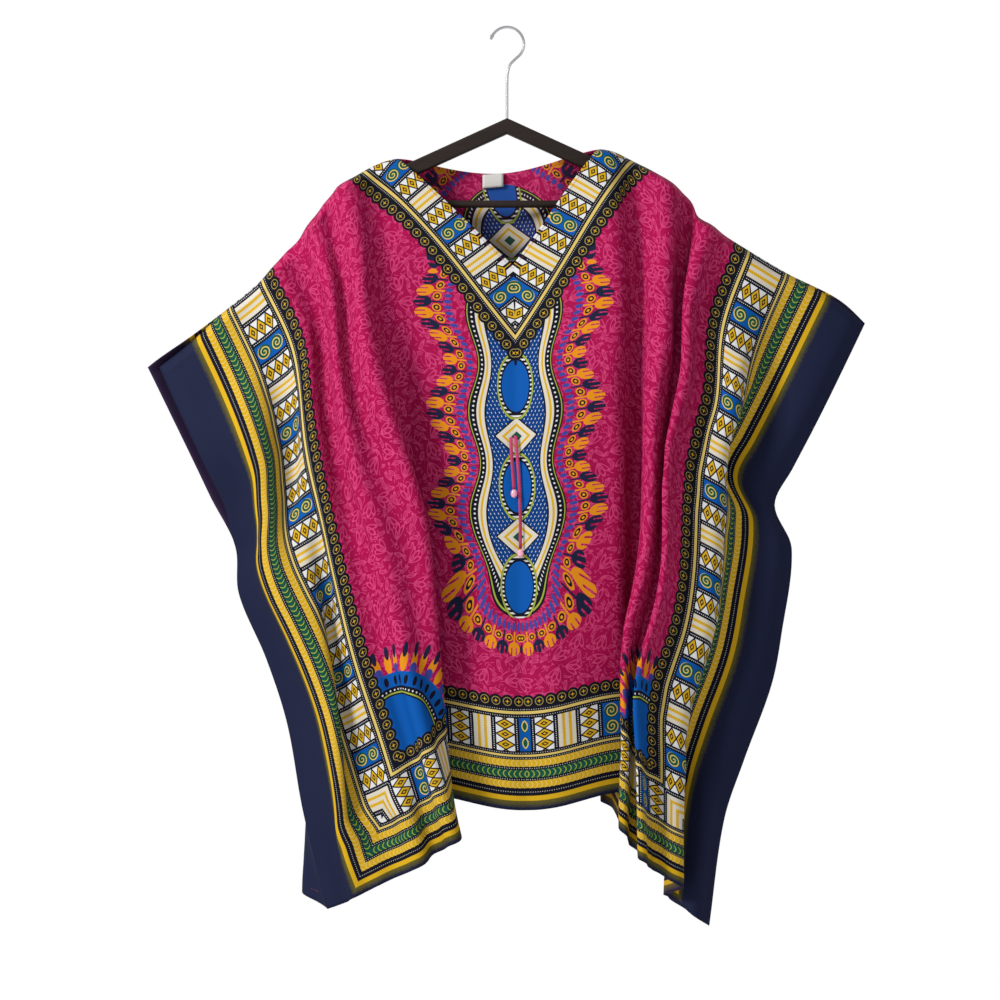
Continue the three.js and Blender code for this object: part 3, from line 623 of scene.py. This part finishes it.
def border_colour(tree, lay, across, run, ring_run):
    """The border print: strips, chevrons, the row of blocks, rings and dots."""
    ramp = tree.nodes.new("ShaderNodeValToRGB")
    ramp.color_ramp.interpolation = "CONSTANT"
    stops = ramp.color_ramp.elements
    while len(stops) < len(BORDER_STRIPS):
        stops.new(1)
    for stop, (start, colour) in zip(stops, BORDER_STRIPS):
        stop.position = start / BORDER_WIDE
        stop.color = (*colour, 1)
    tree.links.new((across / BORDER_WIDE).socket, ramp.inputs["Fac"])
    ring_off = (across - RING_MIDDLE)
    ring_along = ring_run.repeat(RING_PITCH)
    ring = ring_off.reach(ring_along)
    inside = across.under(BORDER_WIDE - 4).most(ring.under(8.6) * across.under(RING_MIDDLE + 12))
    lay(inside, ramp.outputs["Color"])
    lay(ring.near(5.1, 0.5), DULL_GOLD)
    lay((ring_off * ring_along).size().under(0.55) * ring.under(3.0), YELLOW)
    for middle, pitch, colour in ((20.5, 6.0, PALE), (47.5, 6.0, PALE), (34, 6.8, LEAF)):
        off = across - middle
        arcs = (run - off * off * 0.16).repeat(pitch).size().under(0.75)
        lay(arcs * off.size().under(4.6), colour)
    # blocks
    off = across - BLOCK_MIDDLE
    here = run - BLOCK_START - BLOCK_PITCH / 2
    local = here.repeat(BLOCK_PITCH)
    kind = here.count(BLOCK_PITCH).math("WRAP", 4, 0)
    in_row = off.size().under(BLOCK_HALF)
    waves = (off * 2.1).math("SINE") * 0.5
    lay(in_row * ((local.size() + waves).near(4.3, 1.9)), YELLOW)
    lozenge_row = in_row * kind.math("MODULO", 2).near(0, 0.25)
    long_off = off.repeat(13)
    lozenge = long_off.size() / 6.5 + local.size() / 11.5
    lay(lozenge_row, WHITE)
    lay(lozenge_row * lozenge.near(1, 0.15), INK)
    lay(lozenge_row * lozenge.under(0.86), YELLOW)
    lay(lozenge_row * lozenge.under(0.45), INK)
    lay(lozenge_row * lozenge.under(0.2), YELLOW)
    blue_row = in_row * kind.near(1, 0.25)
    lay(blue_row, BLUE)
    spot = off.size() - 10
    radius = spot.reach(local)
    turn = local.math("ARCTAN2", spot) * 0.716
    lay(blue_row * radius.under(9.2), GREEN)
    lay(blue_row * radius.under(9.4) * (radius - turn).repeat(4.5).size().under(0.75), PALE)
    bars = in_row * local.size().over(11.6)
    lay(bars, INK)
    dot_off = off.repeat(2.7).reach(local.size() - BLOCK_PITCH / 2)
    lay(bars * dot_off.under(0.62), WHITE)
    # dots along the dark strips
    nearest = None
    for middle in DOT_ROWS:
        gap = (across - middle).size()
        nearest = gap if nearest is None else nearest.least(gap)
    lay(nearest.reach(run.repeat(3.0)).under(0.6), DOT)


def ground_lines(tree, s, t):
    """Mask of the pink line drawing on the ground: tulips, leaves and dashes."""
    spread = tree.nodes.new("ShaderNodeCombineXYZ")
    tree.links.new(s.socket, spread.inputs[0])
    tree.links.new(t.socket, spread.inputs[1])

    def motif(pitch, scatter, turns):
        cells = tree.nodes.new("ShaderNodeTexVoronoi")
        cells.voronoi_dimensions = "2D"
        cells.inputs["Scale"].default_value = 1 / pitch
        cells.inputs["Randomness"].default_value = scatter
        tree.links.new(spread.outputs[0], cells.inputs["Vector"])
        off = tree.nodes.new("ShaderNodeVectorMath")
        off.operation = "SUBTRACT"
        tree.links.new(spread.outputs[0], off.inputs[0])
        tree.links.new(cells.outputs["Position"], off.inputs[1])
        chance = tree.nodes.new("ShaderNodeSeparateColor")
        tree.links.new(cells.outputs["Color"], chance.inputs[0])
        rotate = tree.nodes.new("ShaderNodeVectorRotate")
        rotate.rotation_type = "Z_AXIS"
        tree.links.new(off.outputs[0], rotate.inputs["Vector"])
        tree.links.new((Wire(tree, chance.outputs[0]) * turns).socket, rotate.inputs["Angle"])
        parts = tree.nodes.new("ShaderNodeSeparateXYZ")
        tree.links.new(rotate.outputs[0], parts.inputs[0])
        return Wire(tree, parts.outputs[0]), Wire(tree, parts.outputs[1])

    x, y = motif(31, 0.62, 9)
    aside = x.size()
    petal = (x / 3.0).reach((y - 2) / 8.0)
    cos, sin = math.cos(math.radians(30)), math.sin(math.radians(30))
    foot = y + 7
    side_x = aside * cos - foot * sin
    side_y = aside * sin + foot * cos - 8
    side_petal = (side_x / 2.7).reach(side_y / 8.2)
    tulip = petal.near(1, 0.21).most(side_petal.near(1, 0.21))
    stamens = (aside - 4).reach(y - 12).under(0.9)
    stem = aside.under(0.45) * (y + 11).size().under(4.5)
    lines = tulip.most(stamens).most(stem)
    clear = x.reach(y).over(11.5)
    x, y = motif(12.5, 0.8, 12)
    leaf = (x / 2.0).reach(y / 6.2)
    vein = x.size().under(0.42) * y.size().under(5)
    lines = lines.most((leaf.near(1, 0.26).most(vein)) * clear)
    x, y = motif(6.4, 0.9, 14)
    dash = x.size().under(0.5) * y.size().under(2.3)
    return lines.most(dash * clear * leaf.over(1.3))


FRONT_MEDALLION_TOP = 150
BACK_MEDALLION_TOP = 112
MEDALLION_LOW = 480
LOBE_PITCH = 128


def medallion(tree, lay, q, t, top, low):
    """The centre motif: ringed discs in a lobed frame, inside a halo of small buds."""
    below = (t - low).most(0) * 0.6
    above = (t * -1 + top).most(0) * 0.6
    beyond = below + above
    radius = q.reach(beyond)
    lobes = (t * (2 * math.pi / LOBE_PITCH) - 1.9).math("SINE") * 0.13 + 1
    out = radius / lobes - 56
    flare = ((t * -1 + 330) / 190).math("MAXIMUM", 0).math("MINIMUM", 1)
    halo = out - flare * flare * 22
    angle = beyond.math("ARCTAN2", q)
    run = t.least(low).most(top) + angle * 88
    # halo: beads, then florets and buds in turn, with small yellow faces between
    bead_off = (halo - 8) / 4.6
    lay(bead_off.reach(run.repeat(7.5) / 2.5).under(1), VIOLET)
    for start, colour in ((0, ORANGE), (14.5, NAVY)):
        step = (run + start).repeat(29)
        rise = halo - 37
        cup = (step / 7.2).reach(rise / 10.5).under(1)
        forks = (step.size() - 2.9).size().over(0.8).most(rise.under(-2))
        stalk = step.size().under(1.1) * (halo - 21).size().under(8)
        lay((cup * forks).most(stalk), colour)
    face = (run + 7.25).repeat(14.5).reach(halo - 21)
    lay(face.under(5.2), ORANGE)
    lay(face.near(2.6, 0.9), INK)
    lay(face.under(1.2), YELLOW)
    # frame and field
    edge = tree.nodes.new("ShaderNodeValToRGB")
    edge.color_ramp.interpolation = "CONSTANT"
    strips = [
        (0, INK), (1.5, LEAF), (2.7, INK), (11, CREAM), (13.5, YELLOW), (16, CREAM), (20, INK),
        (22, DEEP_BLUE),
    ]
    while len(edge.color_ramp.elements) < len(strips):
        edge.color_ramp.elements.new(1)
    for stop, (start, colour) in zip(edge.color_ramp.elements, strips):
        stop.position = start / 60
        stop.color = (*colour, 1)
    deep = out * -1
    tree.links.new((deep / 60).socket, edge.inputs["Fac"])
    lay(deep.over(0), edge.outputs["Color"])
    lay((deep - 7).reach(run.repeat(6)).under(1.25), WHITE)
    flecks = (t + q * 1.7).repeat(9).size().under(0.8) * (t - q * 2.3).repeat(11).size().under(2.4)
    field = deep.over(22)
    lay(field * flecks, WHITE)
    disc_off = (t - 34).repeat(LOBE_PITCH)
    disc = (q / 0.78).reach(disc_off * 0.7) + deep.under(0) * 99
    lay(disc.under(31), INK)
    lay(disc.near(26.5, 1.5) * disc_off.repeat(5.5).size().under(1.2), WHITE)
    lay(disc.near(29.5, 1.1), LEAF)
    lay(disc.under(23), BLUE)
    between = (t - 34 - 64).repeat(LOBE_PITCH)
    panel = field * between.size().under(22)
    chevron = between.size() + q * 0.9
    lay(panel * chevron.under(25), CREAM)
    lay(panel * chevron.near(15, 2), YELLOW)
    lay(panel * chevron.near(25, 1.2), INK)
    lay(panel * chevron.under(6.5), GREEN)


def corner_rosette(tree, lay, q, t):
    """Quarter rosette in each lower corner of the ground: a disc with a ring of petals."""
    over = q * -1 + BORDER_LINE
    up = t * -1 + (LENGTH - HEM_NAVY - BORDER_WIDE + 2)
    far = over.reach(up)
    turn = up.math("ARCTAN2", over)
    for pitch, middle, wide, tall, colour in (
        (0.157, 112, 0.052, 13, ORANGE), (0.157, 126, 0.03, 9, NAVY), (0.314, 104, 0.06, 7, VIOLET),
    ):
        lay((turn.repeat(pitch) / wide).reach((far - middle) / tall).under(1), colour)
    lay(far.under(100), BLUE)
    lay((turn - 0.08).repeat(0.157).reach((far - 90) / 170).under(0.035), INK)
    lay(far.under(82), INK)
    lay((turn * 78).repeat(6).reach(far - 78).under(1.2), WHITE)
    lay(far.near(74, 1), LEAF)
    lay(far.under(71), BLUE)


def cotton(name, face, fade):
    """The printed cotton of one face; fade is how much of the print is lost."""
    material = bpy.data.materials.new(name)
    material.use_nodes = True
    tree = material.node_tree
    shader = tree.nodes["Principled BSDF"]
    cut = tree.nodes.new("ShaderNodeUVMap")
    cut.uv_map = "cut"
    parts = tree.nodes.new("ShaderNodeSeparateXYZ")
    tree.links.new(cut.outputs["UV"], parts.inputs[0])
    s = (Wire(tree, parts.outputs[0]) - 0.5) * (2 * HALF_WIDTH)
    t = (Wire(tree, parts.outputs[1]) * -1 + 1) * LENGTH
    q = s.size()
    # ground
    cloud = tree.nodes.new("ShaderNodeTexNoise")
    cloud.inputs["Scale"].default_value = 14
    cloud.inputs["Detail"].default_value = 2
    tree.links.new(cut.outputs["UV"], cloud.inputs["Vector"])
    ground = tree.nodes.new("ShaderNodeMix")
    ground.data_type = "RGBA"
    ground.inputs[6].default_value = (*[0.86 * level for level in MAGENTA], 1)
    ground.inputs[7].default_value = (*[1.14 * level for level in MAGENTA], 1)
    tree.links.new(cloud.outputs["Fac"], ground.inputs[0])
    lay = painter(tree, ground.outputs[2])
    lay(ground_lines(tree, s, t) * 0.85, PINK)
    if face == "front":
        medallion(tree, lay, q, t, FRONT_MEDALLION_TOP, MEDALLION_LOW)
    else:
        medallion(tree, lay, q, t, BACK_MEDALLION_TOP, MEDALLION_LOW)
    corner_rosette(tree, lay, q, t)
    # border: measured in from its outer line, along it from the mitred corner
    from_side = q * -1 + (HALF_WIDTH - SIDE_NAVY)
    from_hem = t * -1 + (LENGTH - HEM_NAVY)
    across = from_side.least(from_hem)
    run = from_side.most(from_hem)
    ring_run = run
    if face == "front":
        slant = math.hypot(V_LINE_HALF, V_LINE_DEPTH)
        off = (t - V_LINE_DEPTH) * (V_LINE_HALF / slant) + q * (V_LINE_DEPTH / slant)
        up = (t * -1 + V_LINE_DEPTH) * (V_LINE_DEPTH / slant) + q * (V_LINE_HALF / slant)
        in_band = off.under(26) * q.under(230)
        apart = in_band * -1 + 1
        across = (off + 112).most(66) * in_band + across * apart
        first_block = BLOCK_START + BLOCK_PITCH / 2 + BLOCK_PITCH - V_BLUE_UP * V_RUN_SHARE
        run = (up * V_RUN_SHARE + first_block) * in_band + run * apart
        ring_run = up * in_band + ring_run * apart
    border_colour(tree, lay, across, run, ring_run)
    # plain navy outside the outer line, with a yellow-green glow where the dyes meet
    feather = tree.nodes.new("ShaderNodeTexNoise")
    feather.inputs["Scale"].default_value = 260
    tree.links.new(cut.outputs["UV"], feather.inputs["Vector"])
    outside = from_side.least(from_hem) * -1
    lay(outside.over(0), NAVY)
    reach = outside + (Wire(tree, feather.outputs["Fac"]) - 0.5) * 6
    glow = (reach / -9 + 1).math("MULTIPLY", 0.9, clamp=True) * outside.over(0)
    colour = lay(glow, dye(120, 110, 20))
    if fade:
        dull = tree.nodes.new("ShaderNodeMix")
        dull.data_type = "RGBA"
        dull.inputs[0].default_value = fade
        dull.inputs[7].default_value = (*dye(120, 40, 80), 1)
        tree.links.new(colour, dull.inputs[6])
        colour = dull.outputs[2]
    tree.links.new(colour, shader.inputs["Base Color"])
    shader.inputs["Roughness"].default_value = 0.78
    shader.inputs["Specular IOR Level"].default_value = 0.06
    weave = tree.nodes.new("ShaderNodeTexNoise")
    weave.inputs["Scale"].default_value = 700
    weave.inputs["Detail"].default_value = 2
    tree.links.new(cut.outputs["UV"], weave.inputs["Vector"])
    bump = tree.nodes.new("ShaderNodeBump")
    bump.inputs["Strength"].default_value = 0.35
    bump.inputs["Distance"].default_value = 0.0004
    tree.links.new(weave.outputs["Fac"], bump.inputs["Height"])
    tree.links.new(bump.outputs["Normal"], shader.inputs["Normal"])
    return material


def stitches(name, route, stitch, gap, radius, material):
    """A run of short raised thread stitches along a route of points, in metres."""
    places = []
    faces = []
    walked = 0.0
    start = None
    for a, b in zip(route, route[1:]):
        a = Vector(a)
        b = Vector(b)
        if (b - a).length < 1e-7:
            continue
        walked += (b - a).length
        if start is None:
            start = a
        if walked < stitch:
            continue
        middle = (start + b) / 2
        ahead = (b - start) / 2
        walked = -gap
        start = None
        wide = ahead.cross(Vector((0, 1, 0))).normalized() * radius
        up = ahead.cross(wide).normalized() * radius
        base = len(places)
        places += [middle - ahead, middle + wide, middle + up, middle - wide, middle - up, middle + ahead]
        for k in range(4):
            m = (k + 1) % 4
            faces.append((base, base + 1 + m, base + 1 + k))
            faces.append((base + 5, base + 1 + k, base + 1 + m))
    return new_object(name, places, faces, material)


def seam_route(grid, side_shift, cut_path):
    """Places just off the face of a panel along a path of cut positions."""
    s = np.array([p[0] for p in cut_path], float)
    t = np.array([p[1] for p in cut_path], float)
    place = point_at(grid, s, t)
    place[:, 1] += side_shift
    return [tuple(p) for p in place * MM]


front_grid = drape("front", FRONT_LEFT, FRONT_RIGHT)
front_cotton = cotton("front_print", "front", 0)
front_inside = cotton("front_print_inside", "front", 0.12)
front_prints = (front_cotton, front_inside)
front_cloth = hung_cloth("front_cloth", front_grid, front_neck, FRONT_CREASES, "front", front_prints)
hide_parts("front_panel")
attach(front_cloth, "root")

pink_thread = bpy.data.materials.new("pink_thread")
pink_thread.use_nodes = True
pink_thread.node_tree.nodes["Principled BSDF"].inputs["Base Color"].default_value = (*dye(214, 60, 110), 1)
pink_thread.node_tree.nodes["Principled BSDF"].inputs["Roughness"].default_value = 0.7

THREAD_RADIUS = 0.0003
neck_cut = [(k / 2, float(front_neck(abs(k / 2))) + 5) for k in range(-258, 259)]
neck_seam = seam_route(front_grid, -0.6, neck_cut)
neck_stitch = stitches("neck_stitches", neck_seam, 0.0022, 0.0012, THREAD_RADIUS, pink_thread)
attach(neck_stitch, "root")

# ---- Back panel ----
# The same cotton cut as one rectangle with a shallow scooped neck; its lower left
# corner swings round to the front, so its plain navy edge shows beyond the side seam.
BACK_SCOOP = 12
BACK_LEFT = [
    (50, 44, 20, 19, 0, 20, 60, 86, 0), (102, 92, 21, 20, 0, -34, -74, -92, 0),
    (156, 144, 22, 22, 0, 44, 78, 90, 0), (208, 198, 20, 22, 0, -52, -80, -94, 0),
    (260, 250, 22, 20, 4, 66, 78, 88, 0), (316, 304, 22, 23, -4, -66, -74, -84, 0),
    (372, 360, 22, 22, 0, 60, 66, 74, 0), (428, 416, 24, 22, 0, -58, -58, -66, 0),
    (488, 462, 26, 16, 0, 50, 60, 30, 0), (556, 540, 10, 30, 0, 0, 0, -150, 1),
]
BACK_RIGHT = [
    (42, 46, 20, 20, 0, -20, -54, -80, 0), (96, 98, 23, 21, 0, 34, 70, 92, 0),
    (152, 148, 20, 20, 0, -42, -78, -94, 0), (204, 200, 22, 22, 0, 54, 82, 92, 0),
    (258, 252, 21, 20, 4, -64, -78, -90, 0), (312, 304, 22, 22, -4, 66, 76, 88, 0),
    (368, 358, 22, 22, 0, -62, -72, -84, 0), (424, 412, 22, 22, 0, 60, 76, 88, 0),
    (482, 470, 24, 24, 0, -52, -70, -82, 0),
]
BACK_CREASES = [
    (-210, 30, -20, 240, 9, 2.4), (-150, 40, -8, 260, 10, -2.0), (-90, 60, -6, 300, 10, 2.0),
    (-30, 120, 4, 320, 10, -1.6), (40, 80, 6, 300, 10, 1.8), (100, 60, 10, 280, 9, -2.0),
    (160, 40, 10, 260, 9, 2.2), (220, 40, 16, 240, 9, -2.2), (290, 90, 12, 260, 9, 2.2),
    (-280, 90, -10, 260, 9, -2.0), (-340, 150, 10, 250, 9, 2.0), (350, 150, -10, 240, 9, -2.0),
    (-440, 80, 40, 150, 8, 1.8), (440, 80, -40, 150, 8, 1.8), (-490, 330, 60, 80, 8, -1.6),
    (490, 330, -60, 80, 8, 1.6), (-120, 420, 10, 220, 10, 1.6), (130, 430, -8, 210, 10, -1.6),
]


def back_neck(s):
    return BACK_SCOOP * np.maximum(1 - (s / NECK_HALF) ** 2, 0)


back_grid = drape("back", BACK_LEFT, BACK_RIGHT)
# The back meets the front along the shoulder fold, up to where the sleeves part.
SHOULDER_MEET = 60
SLEEVES_PART = 440
apart = smooth(0, SHOULDER_MEET, np.linspace(0, LENGTH, ROWS))[:, None]
out_from_centre = np.abs(np.arange(2 * STEPS + 1) - STEPS) * STEP
sleeve = smooth(SLEEVES_PART, HALF_WIDTH, out_from_centre)[None, :]
away = apart + (1 - apart) * sleeve
back_grid[..., 0] = front_grid[0, :, 0] + (back_grid[..., 0] - front_grid[0, :, 0]) * away
back_cotton = cotton("back_print", "back", 0)
back_inside = cotton("back_print_inside", "back", 0.12)
back_prints = (back_cotton, back_inside)
back_cloth = hung_cloth("back_cloth", back_grid, back_neck, BACK_CREASES, "back", back_prints)
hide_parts("back_panel")
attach(back_cloth, "root")
tack_cut = [(-548 + k / 2, 812 + k / 14) for k in range(30)]
tack_seam = seam_route(back_grid, -0.7, tack_cut)
tack = stitches("hem_tack", tack_seam, 0.002, 0.001, THREAD_RADIUS, pink_thread)
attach(tack, "root")

# ---- Neck label ----
# A small white tape label, folded in half and sewn inside the back neck, left blank.
label_cloth = bpy.data.materials.new("label_tape")
label_cloth.use_nodes = True
label_cloth.node_tree.nodes["Principled BSDF"].inputs["Base Color"].default_value = (*dye(236, 232, 226), 1)
label_cloth.node_tree.nodes["Principled BSDF"].inputs["Roughness"].default_value = 0.75
low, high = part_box("neck_label")
label_rows = 7
label_columns = 9
places = []
faces = []
for j in range(label_rows):
    for i in range(label_columns):
        over = i / (label_columns - 1)
        down = j / (label_rows - 1)
        x = low[0] + 0.001 + (high[0] - low[0] - 0.002) * over
        z = high[2] - (high[2] - low[2]) * down * 0.95 + 0.002 * (over - 0.5)
        y = low[1] + 0.0002 - 0.0012 * math.sin(math.pi * down) * (0.6 + 0.4 * over)
        places.append((x, y, z))
        if i and j:
            a = j * label_columns + i
            faces.append((a - label_columns - 1, a - 1, a, a - label_columns))
label = new_object("label_folded", places, faces, label_cloth)
bpy.ops.object.select_all(action="DESELECT")
label.select_set(True)
bpy.context.view_layer.objects.active = label
fold = label.modifiers.new("fold", "SOLIDIFY")
fold.thickness = 0.0007
fold.offset = 0
bpy.ops.object.modifier_apply(modifier=fold.name)
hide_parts("neck_label")
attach(label, "root")

# ---- Hanger ----
# Dark stained wooden arms and a round trouser bar, with a polished wire hook.
# The wood keeps its modelled shape and takes a fine straight grain.
dark_wood = bpy.data.materials.new("dark_wood")
dark_wood.use_nodes = True
wood_nodes = dark_wood.node_tree.nodes
wood_shader = wood_nodes["Principled BSDF"]
wood_shader.inputs["Roughness"].default_value = 0.5
wood_shader.inputs["Specular IOR Level"].default_value = 0.12
wood_place = wood_nodes.new("ShaderNodeTexCoord")
wood_stretch = wood_nodes.new("ShaderNodeMapping")
wood_stretch.inputs["Scale"].default_value = (12, 160, 160)
wood_grain = wood_nodes.new("ShaderNodeTexNoise")
wood_grain.inputs["Scale"].default_value = 1
wood_grain.inputs["Detail"].default_value = 4
wood_ramp = wood_nodes.new("ShaderNodeValToRGB")
wood_ramp.color_ramp.elements[0].color = (0.004, 0.0025, 0.002, 1)
wood_ramp.color_ramp.elements[1].color = (0.014, 0.008, 0.006, 1)
dark_wood.node_tree.links.new(wood_place.outputs["Object"], wood_stretch.inputs["Vector"])
dark_wood.node_tree.links.new(wood_stretch.outputs["Vector"], wood_grain.inputs["Vector"])
dark_wood.node_tree.links.new(wood_grain.outputs["Fac"], wood_ramp.inputs["Fac"])
dark_wood.node_tree.links.new(wood_ramp.outputs["Color"], wood_shader.inputs["Base Color"])
for name in ("hanger_arms", "hanger_bar"):
    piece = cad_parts[name]
    piece.data.materials.clear()
    piece.data.materials.append(dark_wood)

chrome = bpy.data.materials.new("chrome_wire")
chrome.use_nodes = True
chrome_shader = chrome.node_tree.nodes["Principled BSDF"]
chrome_shader.inputs["Base Color"].default_value = (0.33, 0.33, 0.35, 1)
chrome_shader.inputs["Metallic"].default_value = 1
chrome_shader.inputs["Roughness"].default_value = 0.2
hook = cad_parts["hanger_hook"]
hook.data.materials.clear()
hook.data.materials.append(chrome)
for name in ("hanger_bar", "hanger_hook"):
    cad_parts[name].data.shade_smooth()
